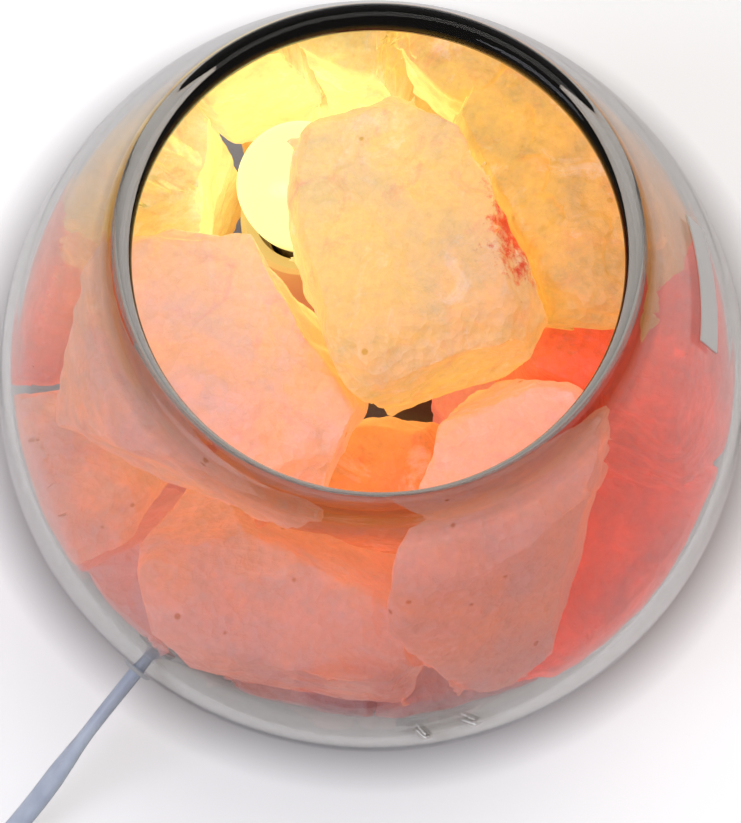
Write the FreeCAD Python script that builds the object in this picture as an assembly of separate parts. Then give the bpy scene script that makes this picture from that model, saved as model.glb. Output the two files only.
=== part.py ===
import FreeCAD, Part
import math
import os

# A round glass bowl heaped with cleaved salt chunks, lit from inside by a small
# screw bulb that stands behind the middle. Millimetres, +Z up. The origin is the
# middle of the bowl's foot, on the surface that the lamp stands on.

Vector = FreeCAD.Vector
up = Vector(0, 0, 1)
origin = Vector(0, 0, 0)

# ---- driving dimensions: the glass bowl
bowl_radius = 85.0  # outside, at the belly
bowl_height = 155.0
belly_height = 72.0  # level of the widest ring
foot_radius = 49.0
mouth_radius = 49.1
lip_width = 4.6  # the fire-polished bead round the mouth
lip_height = 2.6
wall = 3.6
floor_thickness = 7.0
shoulder_bend = 34.6  # how soon the wall turns in above the belly
foot_round = 1.2  # level where the wall's curve turns into the foot
floor_round = 0.8  # the same above the floor, inside
punt_radius = 40.0  # the hollow under the foot
punt_depth = 0.8

# ---- driving dimensions: the cord's hole, its grommet and the blank label
hole_radius = 3.8
hole_level = 45.0
hole_bearing = -127.8
grommet_flange_radius = 5.0
grommet_flange = 1.0
grommet_nose = 1.2  # the tapered nose that the cord leaves by
grommet_nose_radius = 3.3
label_length = 28.0
label_width = 11.0
label_thickness = 0.3
label_bond = 0.02  # the adhesive under it
label_level = 122.5
label_bearing = 7.0

# ---- driving dimensions: the cord and what is on it
cord_radius = 2.6
cord_clearance = 0.1
lead_drop = 9.5  # how far the inner lead runs straight on from the hole
lead_bends = [(19, -5), (25, -19), (32, -31)]  # inwards from the hole, and level from it
lead_landing = 44.0  # inwards from the hole, where it reaches the floor
coil_radius = 38.0  # of the outermost turn, at the cord's middle
coil_pitch = 5.8  # from turn to turn and from layer to layer
coil_turns = 6.4167
coil_start = 210.0  # bearing of the coil's first point from its middle
table_gap = 0.1  # the cord's lowest skin above the table
switch_length = 52.0
switch_width = 22.0
switch_height = 13.0
switch_wall = 1.6
switch_bearing = -60.0
rocker_length = 14.0
rocker_width = 8.0
rocker_tilt = 9.0  # to each side of level
rocker_pivot_radius = 1.2
running_clearance = 0.3
plug_length = 36.0
plug_front_width = 35.3
plug_back_width = 20.0
plug_thickness = 13.7
relief_length = 18.0
pin_radius = 2.0
pin_length = 19.0
pin_spacing = 18.6

# ---- driving dimensions: the lamp unit inside the bowl
lamp_x = -18.0
lamp_y = 32.5
pad_thickness = 1.0
pad_radius = 13.0
foot_plate_radius = 13.5
foot_plate = 2.0
stand_radius = 10.0
stand_wall = 1.5
stand_height = 33.0  # from the top of the foot plate
side_hole_radius = 4.2
side_hole_level = 5.5  # above the foot plate
nipple_radius = 4.9
nipple_bore = 3.5
nipple_length = 13.0
nut_across_flats = 13.0
nut_height = 2.5
fit_clearance = 0.15
holder_radius = 13.8
holder_wall = 1.7
holder_height = 44.0
cap_height = 17.0
shell_radius = 8.0  # outside of the threaded shell
shell_wall = 0.5
bulb_thread_radius = 6.9
bulb_clearance = 0.6  # crest to root, both taken as plain cylinders
bulb_cap_length = 18.0
bulb_radius = 14.0
bulb_glass_length = 39.0
bulb_glass_wall = 0.8
thread_pitch = 2.822
thread_turns = 3.0

# ---- driving dimensions: the pile of salt
well_clearance = 5.0  # between the bulb's glass and the chunks round it
bowl_clearance = 0.7  # between the chunks' corners and the glass
lift_gap = 0.4  # round the one chunk that lifts out
lead_clearance = 1.2
facet_share = 0.985  # how deep the outer facets lie, as a share of the round
chip_edge = 0.86  # where edges are split off, as a share of their distance
chip_corner = 0.80
chip_least = 0.15  # a facet shallower than this isn't cut

# The chunks. Each has its middle, in percent of the inner belly radius across and
# of the space above or below the belly upwards, its half sizes long, wide and deep
# in percent of that radius, and the bearing of its long side.
chunks = [
    ("salt_keystone", (5, 9.5, 67), (40, 28, 25), -66),
    ("salt_left_top", (-39, -19, 48), (44, 30, 27), -24),
    ("salt_front_right_top", (36, -52, 39), (42, 22, 29), 82),
    ("salt_right_top", (46, 32, 55), (34, 26, 25), -60),
    ("salt_back_left_top", (-37, 74, 44), (25, 22, 26), 20),
    ("salt_left_back_top", (-60, 41, 37), (27, 21, 22), 24),
    ("salt_back_top", (-8, 79, 52), (25, 18, 20), -10),
    ("salt_back_right_top", (17, 74, 57), (23, 18, 22), -40),
    ("salt_right_mid", (65, 1, 33), (33, 32, 29), 34),
    ("salt_front_gap", (-5, -37, 19), (32, 17, 20), 0),
    ("salt_front_mid", (-17, -61, 2), (43, 29, 32), -8),
    ("salt_left_mid", (-76, -29, -2), (27, 25, 29), 60),
    ("salt_left_front_low", (-58, -58, -28), (37, 29, 32), -48),
    ("salt_front_low_left", (-15, -70, -58), (29, 22, 27), 0),
    ("salt_front_low_right", (27, -70, -52), (27, 22, 27), 10),
    ("salt_right_front_mid", (64, -47, -9), (37, 25, 34), 70),
    ("salt_right_low", (74, -15, -37), (32, 25, 32), 80),
    ("salt_far_left", (-84, 28, 18), (48, 24, 40), 80),
    ("salt_left_back_mid", (-64, 57, -12), (32, 22, 32), -60),
    ("salt_back_mid", (-10, 81, -9), (34, 17, 37), 0),
    ("salt_right_back_mid", (59, 61, 10), (42, 29, 40), -45),
    ("salt_right_side", (84, 15, 0), (34, 20, 32), 85),
    ("salt_floor_left", (-54, -7, -65), (29, 25, 27), 90),
    ("salt_floor_back", (25, 52, -65), (32, 27, 29), 0),
    ("salt_floor_right", (49, 5, -68), (29, 27, 25), 60),
    ("salt_floor_front", (10, -25, -71), (29, 22, 25), 0),
    ("salt_floor_back_left", (-57, 39, -68), (22, 22, 25), 0),
]
floor_layer = -50  # chunks whose middle is lower than this stand on the floor


def save(name, shape):
    print(f"{name:24s} volume {shape.Volume:10.1f}  solids {len(shape.Solids)}  valid {shape.isValid()}")
    shape.exportStep(f"parts/{name}.step")


def revolved(points, middle=origin):
    # A solid turned from an outline of (radius, height) corners about the axis through middle.
    corners = [middle + Vector(radius, 0, height) for radius, height in points]
    wire = Part.makePolygon(corners + [corners[0]])
    return Part.Face(wire).revolve(middle, up, 360)


def cylinder(radius, length, start, direction=up):
    return Part.makeCylinder(radius, length, start, direction)


def one_solid(shape):
    return shape.removeSplitter().Solids[0] if shape.ShapeType != "Solid" else shape


# ---- the glass bowl

neck_radius = mouth_radius + lip_width
shoulder_sweep = (bowl_radius - neck_radius) / (
    math.hypot(1, (bowl_height - belly_height) / shoulder_bend) - 1
)
keel_reach = belly_height / math.sqrt(1 - (foot_radius / bowl_radius) ** 2)


def wall_radius(height, inset):
    # Radius of the bowl at a height, on a surface that lies inset inside the outer one:
    # a quarter of an ellipse below the belly and a branch of a hyperbola above it.
    if height >= belly_height:
        rise = (height - belly_height) / shoulder_bend
        slope = shoulder_sweep * rise / (shoulder_bend * math.hypot(1, rise))
        outside = bowl_radius - shoulder_sweep * (math.hypot(1, rise) - 1)
        return outside - inset * math.hypot(1, slope)
    drop = (belly_height - height) / (keel_reach - inset)
    return (bowl_radius - inset) * math.sqrt(1 - drop**2)


def wall_normal(height, inset):
    # Outward normal of that surface, as (outwards, upwards).
    step = 0.01
    slope = (wall_radius(height + step, inset) - wall_radius(height - step, inset)) / (2 * step)
    length = math.hypot(1, slope)
    return 1 / length, -slope / length


def wall_curve(low, high, inset, spans=5):
    # The wall's outline between two levels, through the belly.
    levels = [low + (belly_height - low) * k / spans for k in range(spans)]
    levels += [belly_height + (high - belly_height) * k / spans for k in range(spans + 1)]
    curve = Part.BSplineCurve()
    curve.interpolate([Vector(wall_radius(level, inset), 0, level) for level in levels])
    return curve.toShape()


def at(radius, height):
    return Vector(radius, 0, height)


def arc(start, middle, end):
    return Part.Arc(start, middle, end).toShape()


def line(start, end):
    return Part.LineSegment(start, end).toShape()


def tangent_arc(start, heading, end):
    # The arc from start, leaving along heading, to end.
    chord = end - start
    square = chord.cross(heading).cross(heading).normalize()
    if square.dot(chord) < 0:
        square = square * -1
    radius = chord.dot(chord) / (2 * square.dot(chord))
    centre = start + square * radius
    middle_way = (start + end) * 0.5 - centre
    return arc(start, centre + middle_way.normalize() * radius, end)


def turned_in(level, rise, inset):
    # Where the wall's curve starts, rise above a level floor, and where an arc from there meets it.
    start = at(wall_radius(level + rise, inset), level + rise)
    out, lift = wall_normal(level + rise, inset)
    half_turn = math.atan2(out, -lift) / 2
    return start, at(start.x - rise / math.tan(half_turn), level)


def bowl_solid():
    lip_base = bowl_height - lip_height
    lip_middle = mouth_radius + lip_width / 2
    inner_top = bowl_height - 2.4 * lip_height
    outer_foot, foot_edge = turned_in(0, foot_round, 0)
    outer_lip = at(wall_radius(lip_base, 0), lip_base)
    crown = at(lip_middle, bowl_height)
    inner_lip = at(mouth_radius, lip_base)
    inner_neck = at(wall_radius(inner_top, wall), inner_top)
    inner_foot, floor_edge = turned_in(floor_thickness, floor_round, wall)
    edges = [
        line(at(0, punt_depth), at(punt_radius - 2 * punt_depth, punt_depth)),
        line(at(punt_radius - 2 * punt_depth, punt_depth), at(punt_radius, 0)),
        line(at(punt_radius, 0), foot_edge),
        tangent_arc(foot_edge, at(1, 0), outer_foot),
        wall_curve(foot_round, lip_base, 0),
        tangent_arc(crown, at(1, 0), outer_lip),
        tangent_arc(crown, at(-1, 0), inner_lip),
        arc(inner_lip, inner_lip + at(0.2 * lip_height, -0.9 * lip_height), inner_neck),
        wall_curve(inner_foot.z, inner_neck.z, wall),
        tangent_arc(floor_edge, at(1, 0), inner_foot),
        line(floor_edge, at(0, floor_thickness)),
        line(at(0, floor_thickness), at(0, punt_depth)),
    ]
    wire = Part.Wire(Part.__sortEdges__(edges))
    return Part.Face(wire).revolve(origin, up, 360)


def on_bearing(bearing, outwards, upwards=0.0):
    angle = math.radians(bearing)
    return Vector(outwards * math.cos(angle), outwards * math.sin(angle), upwards)


hole_out, hole_up = wall_normal(hole_level, 0)
hole_axis = on_bearing(hole_bearing, hole_out, hole_up)
hole_mouth = on_bearing(hole_bearing, wall_radius(hole_level, 0), hole_level)
hole_reach = 3 * wall

plain_bowl = bowl_solid()
hole = cylinder(hole_radius, 2 * hole_reach, hole_mouth - hole_axis * hole_reach, hole_axis)
bowl = plain_bowl.cut(hole)
save("glass_bowl", bowl)

# ---- the rubber grommet: a spool that the wall fills the groove of

inner_face = hole_mouth - hole_axis * (wall + grommet_flange)
outer_face = hole_mouth + hole_axis * grommet_flange
spool = cylinder(grommet_flange_radius, wall + 2 * grommet_flange, inner_face, hole_axis)
nose = Part.makeCone(
    grommet_nose_radius + 0.7, grommet_nose_radius, grommet_nose, outer_face, hole_axis
)
bore = cylinder(
    cord_radius + cord_clearance,
    wall + 2 * grommet_flange + grommet_nose + 2,
    inner_face - hole_axis,
    hole_axis,
)
grommet = spool.cut(bowl).fuse(nose).cut(bore)
save("cord_grommet", one_solid(grommet))
cord_exit = outer_face + hole_axis * grommet_nose

# ---- the blank label on the shoulder, bent to the glass


def skin(inset_low, inset_high, low, high):
    outline = [wall_curve(low, high, inset_high), wall_curve(low, high, inset_low)]
    ends = [
        line(at(wall_radius(level, inset_high), level), at(wall_radius(level, inset_low), level))
        for level in (low, high)
    ]
    return Part.Face(Part.Wire(Part.__sortEdges__(outline + ends))).revolve(origin, up, 360)


label_out, label_up = wall_normal(label_level, 0)
label_point = on_bearing(label_bearing, wall_radius(label_level, 0), label_level)
label_axis = on_bearing(label_bearing, label_out, label_up)
label_block = Part.makeBox(
    label_width, label_length, 12, Vector(-label_width / 2, -label_length / 2, -6)
)
label_turn = FreeCAD.Rotation(up, Vector(label_out, 0, label_up))
label_block.Placement = FreeCAD.Placement(
    label_point, FreeCAD.Rotation(up, label_bearing).multiply(label_turn)
)
label_skin = skin(
    -label_bond, -label_bond - label_thickness, belly_height - 20, bowl_height - 2 * lip_height
)
save("blank_label", one_solid(label_skin.common(label_block)))

# ---- the stand, from the floor up


def lamp_at(height):
    return Vector(lamp_x, lamp_y, height)


pad_level = floor_thickness
plate_level = pad_level + pad_thickness
tube_level = plate_level + foot_plate
stand_top = tube_level + stand_height
save("stand_pad", cylinder(pad_radius, pad_thickness, lamp_at(pad_level)))

side_hole_middle = lamp_at(tube_level + side_hole_level)
stand = revolved(
    [
        (0, 0),
        (foot_plate_radius, 0),
        (foot_plate_radius, 0.6 * foot_plate),
        (foot_plate_radius - 0.4 * foot_plate, foot_plate),
        (stand_radius, foot_plate),
        (stand_radius, foot_plate + stand_height),
        (nipple_radius + fit_clearance, foot_plate + stand_height),
        (nipple_radius + fit_clearance, foot_plate + stand_height - 2 * stand_wall),
        (stand_radius - stand_wall, foot_plate + stand_height - 2 * stand_wall),
        (stand_radius - stand_wall, foot_plate),
        (0, foot_plate),
    ],
    lamp_at(plate_level),
)
side_hole = cylinder(
    side_hole_radius, stand_radius + 1, side_hole_middle, Vector(0, -1, 0)
)
stand = stand.cut(side_hole)
save("lamp_stand", stand)

bush_outer = cylinder(side_hole_radius + 1.2, 1.2, side_hole_middle - Vector(0, stand_radius + 1.2, 0), Vector(0, 1, 0))
bush_tube = cylinder(
    side_hole_radius - fit_clearance,
    stand_wall + 2.4,
    side_hole_middle - Vector(0, stand_radius + 1.2, 0),
    Vector(0, 1, 0),
)
bush_bore = cylinder(
    cord_radius + cord_clearance, 3 * stand_radius, side_hole_middle, Vector(0, -1, 0)
)
bush = bush_outer.fuse(bush_tube).cut(bush_bore).cut(stand)
save("stand_bush", one_solid(bush))

nut_level = stand_top - 2 * stand_wall - nut_height
nipple_level = nut_level - 1.5
nipple = cylinder(nipple_radius, nipple_length, lamp_at(nipple_level)).cut(
    cylinder(nipple_bore, nipple_length, lamp_at(nipple_level))
)
save("threaded_nipple", nipple)


def hexagon(across_flats, height, middle):
    corners = [
        middle + on_bearing(60 * k, across_flats / math.sqrt(3)) for k in range(6)
    ]
    return Part.Face(Part.makePolygon(corners + [corners[0]])).extrude(up * height)


nut = hexagon(nut_across_flats, nut_height, lamp_at(nut_level)).cut(
    cylinder(nipple_radius, nut_height, lamp_at(nut_level))
)
save("lock_nut", nut)

# ---- the screw lampholder

holder_top = stand_top + holder_height
cap_floor = 2.5
ledge_level = 10.0  # where the insert's flange lies on the cap, above the stand's top
ledge_radius = holder_radius - 2 * holder_wall
cap = revolved(
    [
        (nipple_radius, 0),
        (holder_radius - 3, 0),
        (holder_radius, 4),
        (holder_radius, cap_height),
        (holder_radius - holder_wall, cap_height),
        (holder_radius - holder_wall, ledge_level),
        (ledge_radius, ledge_level),
        (ledge_radius, 4.5),
        (ledge_radius - 1, cap_floor),
        (nipple_radius, cap_floor),
    ],
    lamp_at(stand_top),
)
save("holder_cap", cap)

# The sleeve's collar slips inside the cap's mouth, and its skirt covers the bulb's cap.
collar_radius = holder_radius - holder_wall - fit_clearance
collar_drop = 5.0
sleeve = revolved(
    [
        (collar_radius - 1.4, cap_height - collar_drop),
        (collar_radius, cap_height - collar_drop),
        (collar_radius, cap_height),
        (holder_radius, cap_height),
        (holder_radius, holder_height - 1),
        (holder_radius - 1, holder_height),
        (collar_radius - 1.4, holder_height),
    ],
    lamp_at(stand_top),
)
save("holder_sleeve", sleeve)

contact_level = stand_top + 20.0
insert_base = stand_top + ledge_level
insert_radius = collar_radius - 1.4 - fit_clearance
insert_flange = cap_height - collar_drop - ledge_level  # held between the ledge and the collar
insert = revolved(
    [
        (0, 0),
        (collar_radius, 0),
        (collar_radius, insert_flange),
        (insert_radius, insert_flange),
        (insert_radius, 7),
        (shell_radius + 1.6, 7),
        (shell_radius + 1.6, holder_top - 10 - insert_base),
        (shell_radius, holder_top - 10 - insert_base),
        (shell_radius, 8),
        (0, 8),
    ],
    lamp_at(insert_base),
)
screw_radius = 1.5
screw_drop = 2.4  # below the insert, where a core is clamped
screw_spot = 7.0
screw_grip = 3.0  # inside the insert
for side in (-1, 1):
    screw_seat = lamp_at(insert_base) + Vector(side * screw_spot, 0, 0)
    insert = insert.cut(cylinder(screw_radius + 0.05, screw_grip + 0.2, screw_seat))
save("holder_insert", insert)

shell = revolved(
    [
        (bulb_thread_radius + bulb_clearance, 8),
        (shell_radius, 8),
        (shell_radius, holder_top - 12 - insert_base),
        (bulb_thread_radius + bulb_clearance, holder_top - 12 - insert_base),
    ],
    lamp_at(insert_base),
)
save("thread_shell", shell)

# The centre contact is a bent strip: a foot on the insert and a sprung tongue under the bulb.
contact_width = 4.0
contact_strip = 0.5
tongue_gap = 0.3
insert_floor = insert_base + 8
tongue_under = contact_level - tongue_gap - contact_strip
strip_outline = [
    (-5.0, insert_floor),
    (2.0, insert_floor),
    (2.0, insert_floor + contact_strip),
    (-4.4, insert_floor + contact_strip),
    (-2.6, tongue_under),
    (2.4, tongue_under),
    (2.4, tongue_under + contact_strip),
    (-3.0, tongue_under + contact_strip),
    (-5.0, insert_floor + contact_strip),
]
strip_corners = [Vector(lamp_x + x, lamp_y - contact_width / 2, z) for x, z in strip_outline]
strip = Part.Face(Part.makePolygon(strip_corners + [strip_corners[0]])).extrude(
    Vector(0, contact_width, 0)
)
save("centre_contact", strip)

screws = []
for side in (-1, 1):
    seat = lamp_at(insert_base) + Vector(side * screw_spot, 0, -screw_drop)
    body = cylinder(screw_radius, screw_drop + screw_grip, seat)
    head = cylinder(screw_radius + 1.1, 1.4, seat - up * 1.4)
    slot = Part.makeBox(6, 0.7, 0.8, seat - Vector(3, 0.35, 1.4))
    screws.append(body.fuse(head).cut(slot).removeSplitter().Solids[0])
save("terminal_screws", Part.makeCompound(screws))

# ---- cords


def rounded_path(points):
    # Straight runs joined by the largest tangent arcs that the shorter run beside each allows.
    edges = []
    start = points[0]
    radii = []
    for before, corner, after in zip(points, points[1:], points[2:]):
        back = (before - corner).normalize()
        on = (after - corner).normalize()
        half_turn = (math.pi - back.getAngle(on)) / 2
        reach = 0.45 * min(corner.distanceToPoint(before), corner.distanceToPoint(after))
        radius = reach / math.tan(half_turn)
        radii.append(radius)
        enter = corner + back * reach
        leave = corner + on * reach
        bisector = (back + on).normalize()
        middle = corner + bisector * (radius / math.cos(half_turn) - radius)
        edges += [line(start, enter), arc(enter, middle, leave)]
        start = leave
    edges.append(line(start, points[-1]))
    return Part.Wire(edges), radii


def tube(name, points, radius):
    path, radii = rounded_path(points)
    heading = (points[1] - points[0]).normalize()
    section = Part.Wire(Part.makeCircle(radius, points[0], heading))
    solid = path.makePipeShell([section], True, False)
    share = solid.Volume / (math.pi * radius**2 * path.Length)
    print(f"  {name}: length {path.Length:.1f}, volume / (section x length) {share:.4f}, radii", end=" ")
    print(" ".join(f"{r:.1f}" for r in radii))
    return one_solid(solid)


# The lead inside the bowl drops down the wall and crosses the floor to the stand.
lead_floor = floor_thickness + cord_radius + table_gap
lead_start = inner_face


def below_hole(inwards, height):
    return on_bearing(hole_bearing, math.hypot(lead_start.x, lead_start.y) - inwards, height)


lead_points = [
    lead_start,
    lead_start - hole_axis * lead_drop,
    *(below_hole(inwards, lead_start.z + rise) for inwards, rise in lead_bends),
    below_hole(lead_landing, lead_floor),
    lamp_at(lead_floor) - Vector(0.5, 24, 0),
    side_hole_middle - Vector(0, stand_radius + 4, 0),
    side_hole_middle - Vector(0, stand_radius - 4, 0),
]
# Inside the grommet the lead and the cord outside are one run, cut at the grommet's inner face.
save("inner_lead", tube("inner_lead", lead_points, cord_radius))

core_radius = 0.9
core_start = side_hole_middle - Vector(0, stand_radius - 4, 0)
cores = []
for side in (-1, 1):
    offset = Vector(side * 1.2, 0, 0)
    core_points = [
        core_start + offset,
        core_start + offset + Vector(0, 4.6, 0.3),
        lamp_at(core_start.z + 6.5) + offset,
        lamp_at(nipple_level) + offset,
        lamp_at(insert_base - screw_drop / 2) + offset * 1.3,
        lamp_at(insert_base - screw_drop / 2) + Vector(side * (screw_spot - screw_radius - 0.05), 0, 0),
    ]
    cores.append(tube("lead_cores", core_points, core_radius))
save("lead_cores", Part.makeCompound(cores))

# ---- the cord outside: down to the table, into the switch, then the coil put away in front

table_level = cord_radius + table_gap
switch_axis = on_bearing(switch_bearing, 1)
switch_side = on_bearing(switch_bearing + 90, 1)
cord_level_switch = 5.0
cord_points = [
    inner_face,
    cord_exit,
    Vector(-60.5, -78.0, 39.5),
    Vector(-68.5, -87.0, 28.0),
    Vector(-75.5, -93.5, 14.0),
    Vector(-85.0, -104.0, 6.0),
    Vector(-89.5, -119.5, 3.4),
    Vector(-87.5, -134.5, 3.6),
    Vector(-81.0, -145.8, cord_level_switch),
]
cord_route = [cord_exit] + cord_points[2:]
grommet_run = cylinder(
    cord_radius, cord_exit.distanceToPoint(inner_face), inner_face, hole_axis
)
lead_outside = tube("cord_lead", cord_route, cord_radius)
save("cord_lead", one_solid(lead_outside.fuse(grommet_run)))

switch_start = cord_points[-1]
switch_end = switch_start + switch_axis * switch_length
link_length = 31.5
link_drop = cord_level_switch - table_level
link_points = [
    switch_end,
    switch_end + switch_axis * 10,
    switch_end + switch_axis * 21 - up * link_drop,
    switch_end + switch_axis * link_length - up * link_drop,
]
save("cord_link", tube("cord_link", link_points, cord_radius))

coil_entry = link_points[-1]
lead_in = 2 * cord_radius
coil_middle = coil_entry + switch_axis * lead_in + switch_side * coil_radius


def coil_point(turn):
    # The cord's middle after so many turns: in on the lower layer, out again on the upper one.
    half = coil_turns / 2
    radius = coil_radius - coil_pitch * (half - abs(turn - half))
    climb = min(1.0, max(0.0, (turn - half + 0.25) / 0.5))
    rise = coil_pitch * (1 - math.cos(math.pi * climb)) / 2
    return coil_middle + on_bearing(coil_start + 360 * turn, radius, rise)


def coil_heading(turn):
    step = 0.01
    return (coil_point(turn + step) - coil_point(turn - step)).normalize()


def biarc(start, heading, end, final):
    # Two arcs that leave start along heading, meet in a shared tangent and reach end along final.
    across = end - start
    both = heading + final
    slack = 2 * (1 - heading.dot(final))
    reach = (-across.dot(both) + math.sqrt(across.dot(both) ** 2 + slack * across.dot(across))) / slack
    joint = (start + end + (heading - final) * reach) * 0.5
    meet = (end - final * reach - start - heading * reach).normalize()
    return [tangent_arc(start, heading, joint), tangent_arc(joint, meet, end)]


steps = round(4 * coil_turns)
turns = [coil_turns * k / steps for k in range(steps + 1)]
first = coil_point(0)
last = coil_point(coil_turns)
exit_heading = Vector(-math.sin(math.radians(coil_start + 360 * coil_turns)), math.cos(math.radians(coil_start + 360 * coil_turns)), 0)
coil_edges = [line(coil_entry, first)]
for one, two in zip(turns, turns[1:]):
    head_one = switch_axis if one == 0 else coil_heading(one)
    head_two = exit_heading if two == turns[-1] else coil_heading(two)
    coil_edges += biarc(coil_point(one), head_one, coil_point(two), head_two)
coil_exit = last + exit_heading * lead_in
coil_edges.append(line(last, coil_exit))
coil_path = Part.Wire(coil_edges)
coil_section = Part.Wire(Part.makeCircle(cord_radius, coil_entry, switch_axis))
coil = one_solid(coil_path.makePipeShell([coil_section], True, False))
print(f"  cord_coil: length {coil_path.Length:.1f}, share {coil.Volume / (math.pi * cord_radius**2 * coil_path.Length):.4f}")

samples = [coil_point(coil_turns * k / 720) for k in range(721)]
apart = round(720 * 0.5 / coil_turns)
least = min(
    (a.distanceToPoint(b), i)
    for i, a in enumerate(samples)
    for b in samples[i + apart :]
)[0]
print(f"  cord_coil: least gap to itself {least - 2 * cord_radius:.2f}, smallest radius {coil_radius - coil_pitch * coil_turns / 2:.1f}")
save("cord_coil", coil)

# ---- the plug at the cord's end

plug_axis = exit_heading
plug_side = plug_axis.cross(up)
plug_level = plug_thickness / 2
tail_points = [
    coil_exit,
    coil_exit + plug_axis * 7 - up * 0.2,
    Vector(coil_exit.x, coil_exit.y, plug_level) + plug_axis * 15,
    Vector(coil_exit.x, coil_exit.y, plug_level) + plug_axis * 21,
]
save("cord_tail", tube("cord_tail", tail_points, cord_radius))
relief_start = tail_points[-1]
plug_back = relief_start + plug_axis * relief_length


def plug_section(along, width, thickness):
    # A flat six-sided section with its long corners at the sides.
    half_wide = width / 2
    half_thick = thickness / 2
    slope = 0.45 * thickness
    outline = [
        (-half_wide, 0),
        (-half_wide + slope, half_thick),
        (half_wide - slope, half_thick),
        (half_wide, 0),
        (half_wide - slope, -half_thick),
        (-half_wide + slope, -half_thick),
    ]
    corners = [plug_back + plug_axis * along + plug_side * x + up * z for x, z in outline]
    return Part.makePolygon(corners + [corners[0]])


plug_body = Part.makeLoft(
    [
        plug_section(0, plug_back_width, 0.86 * plug_thickness),
        plug_section(0.35 * plug_length, plug_back_width + 2, 0.86 * plug_thickness),
        plug_section(0.8 * plug_length, plug_front_width, plug_thickness),
        plug_section(plug_length, plug_front_width, plug_thickness),
    ],
    True,
    True,
)
relief = Part.makeCone(cord_radius + 1, cord_radius + 2.4, relief_length, relief_start, plug_axis)
plug_body = plug_body.fuse(relief)
pin_seats = [plug_back + plug_axis * (plug_length - 8) + plug_side * (s * pin_spacing / 2) for s in (-1, 1)]
pins = []
for seat in pin_seats:
    pin = cylinder(pin_radius, pin_length + 8, seat, plug_axis)
    tip = pin.Edges[[e.CenterOfMass.distanceToPoint(seat) for e in pin.Edges].index(max(e.CenterOfMass.distanceToPoint(seat) for e in pin.Edges))]
    pins.append(pin.makeChamfer(0.6, [tip]))
    plug_body = plug_body.cut(pin)
save("plug_body", one_solid(plug_body))
save("plug_pins", Part.makeCompound(pins))

# ---- the in-line switch: two half shells round a rocker

switch_middle = switch_start + switch_axis * (switch_length / 2)
switch_split = 7.0


def in_switch(along, across, height):
    spot = switch_start + switch_axis * (switch_length / 2 + along) + switch_side * across
    return Vector(spot.x, spot.y, height)


def switch_outline(shrink, level):
    # A long oval: two sides joined by round ends, drawn in by shrink.
    half_long = switch_length / 2 - shrink
    half_wide = switch_width / 2 - shrink
    shoulder = 0.62 * switch_length / 2
    neck = max(0.5 * switch_width / 2 - shrink, 3.4 - shrink)
    left, right = -half_wide, half_wide
    edges = [
        line(in_switch(-shoulder, left, level), in_switch(shoulder, left, level)),
        arc(
            in_switch(shoulder, left, level),
            in_switch((shoulder + half_long) / 2 + 1.2, -(half_wide + neck) / 2 - 0.9, level),
            in_switch(half_long, -neck, level),
        ),
        line(in_switch(half_long, -neck, level), in_switch(half_long, neck, level)),
        arc(
            in_switch(half_long, neck, level),
            in_switch((shoulder + half_long) / 2 + 1.2, (half_wide + neck) / 2 + 0.9, level),
            in_switch(shoulder, right, level),
        ),
        line(in_switch(shoulder, right, level), in_switch(-shoulder, right, level)),
        arc(
            in_switch(-shoulder, right, level),
            in_switch(-(shoulder + half_long) / 2 - 1.2, (half_wide + neck) / 2 + 0.9, level),
            in_switch(-half_long, neck, level),
        ),
        line(in_switch(-half_long, neck, level), in_switch(-half_long, -neck, level)),
        arc(
            in_switch(-half_long, -neck, level),
            in_switch(-(shoulder + half_long) / 2 - 1.2, -(half_wide + neck) / 2 - 0.9, level),
            in_switch(-shoulder, left, level),
        ),
    ]
    return Part.Face(Part.Wire(edges))


def across_box(long, wide, low, high):
    corners = [
        in_switch(x, y, low)
        for x, y in (
            (-long / 2, -wide / 2),
            (long / 2, -wide / 2),
            (long / 2, wide / 2),
            (-long / 2, wide / 2),
        )
    ]
    return Part.Face(Part.makePolygon(corners + [corners[0]])).extrude(up * (high - low))


cord_way = cylinder(cord_radius + cord_clearance, switch_length + 10, switch_start - switch_axis * 5, switch_axis)
pivot_level = switch_height - 3.0
base = switch_outline(0, 0).extrude(up * switch_split)
base = base.cut(switch_outline(switch_wall, switch_wall).extrude(up * switch_split))
base = base.cut(cord_way)
cover = switch_outline(0, switch_split).extrude(up * (switch_height - switch_split))
rim_edges = [e for e in cover.Edges if e.BoundBox.ZMin > switch_height - 0.01]
cover = cover.makeFillet(1.5, rim_edges)
cover = cover.cut(
    switch_outline(switch_wall, switch_split).extrude(up * (switch_height - switch_split - switch_wall))
)
rocker_top = switch_height + 1.2
rocker_edge = rocker_top - 0.3 - pivot_level  # the end's upper corner above the pivot
tilt = math.radians(rocker_tilt)
swing = rocker_length / 2 * math.cos(tilt) + rocker_edge * math.sin(tilt)
window_long = 2 * (swing + running_clearance)
window_wide = rocker_width + 2 * running_clearance
cover = cover.cut(across_box(window_long, window_wide, switch_split, switch_height + 1))
cover = cover.cut(cord_way)
# Two ears hang from the cover beside the window and hold the rocker's pivot.
ear = 1.4
for side in (-1, 1):
    middle = side * (window_wide / 2 + ear / 2)
    low = pivot_level - rocker_pivot_radius - 1.6
    ear_block = across_box(5.0, ear, low, switch_height - switch_wall).translated(switch_side * middle)
    cover = cover.fuse(ear_block)
pivot_start = in_switch(0, -(window_wide / 2 + ear), pivot_level)
pivot_hole = cylinder(
    rocker_pivot_radius + 0.05, window_wide + 2 * ear, pivot_start, switch_side
)
cover = cover.cut(pivot_hole)

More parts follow.
